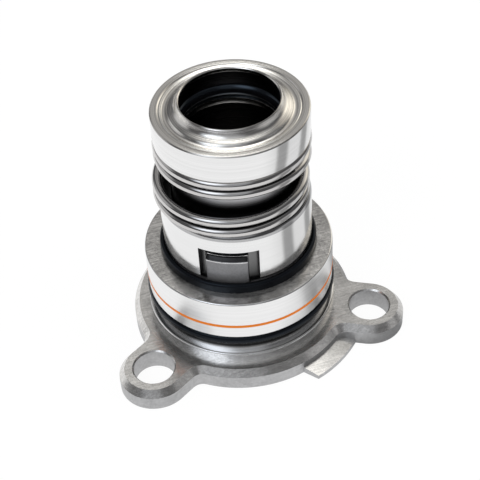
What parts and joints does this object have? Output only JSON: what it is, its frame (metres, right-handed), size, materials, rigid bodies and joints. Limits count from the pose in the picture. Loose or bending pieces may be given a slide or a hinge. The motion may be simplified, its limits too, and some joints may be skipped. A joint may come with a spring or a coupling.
{
  "type": "mechanical seal",
  "caption": "Mechanical shaft seal with an eared gland flange, a fixed seat in a rubber cup and a coil-sprung rotating head under a turned collar.",
  "frame": {"origin": "on the shaft axis, at the lower face of the gland flange, in the centre of the bolt circle", "axes": "+Z along the shaft from the flange's lower face up to the top collar; +Y towards one ear; the picture is taken from the -Y side, a little towards -X"},
  "size_m": [0.0814, 0.0788, 0.0738],
  "materials": {
    "turned_steel": "turned and polished",
    "cast_steel": "fine machined, matte",
    "dull_steel": "plain turned",
    "spring_steel": "polished wire",
    "rubber": "smooth, slightly glossy",
    "face_ring": "fine ground, dull",
    "line_paint": "satin"
  },
  "bodies": {
    "gland": {"gland_flange": "cast_steel", "gland_oring": "rubber", "marking_line": "line_paint", "seat_cup": "rubber", "stationary_seat": "face_ring", "seat_pin": "dull_steel"},
    "head": {"rotary_ring": "face_ring", "rotary_oring": "rubber", "ring_carrier": "dull_steel", "drive_sleeve": "turned_steel", "spring": "spring_steel"},
    "collar": {"top_collar": "turned_steel", "inner_sleeve": "dull_steel", "shaft_oring": "rubber"}
  },
  "joints": [
    {"name": "head_spin", "type": "hinge", "parent": "gland", "child": "head", "pos_m": [0, 0, 0.028], "axis": [0, 0, 1], "continuous": true},
    {"name": "collar_travel", "type": "slide", "parent": "head", "child": "collar", "axis": [0, 0, 1], "range_m": [-0.0045, 0], "stiffness_N_per_m": 8000, "springref_m": 0.0003, "deforming": ["spring"]}
  ]
}
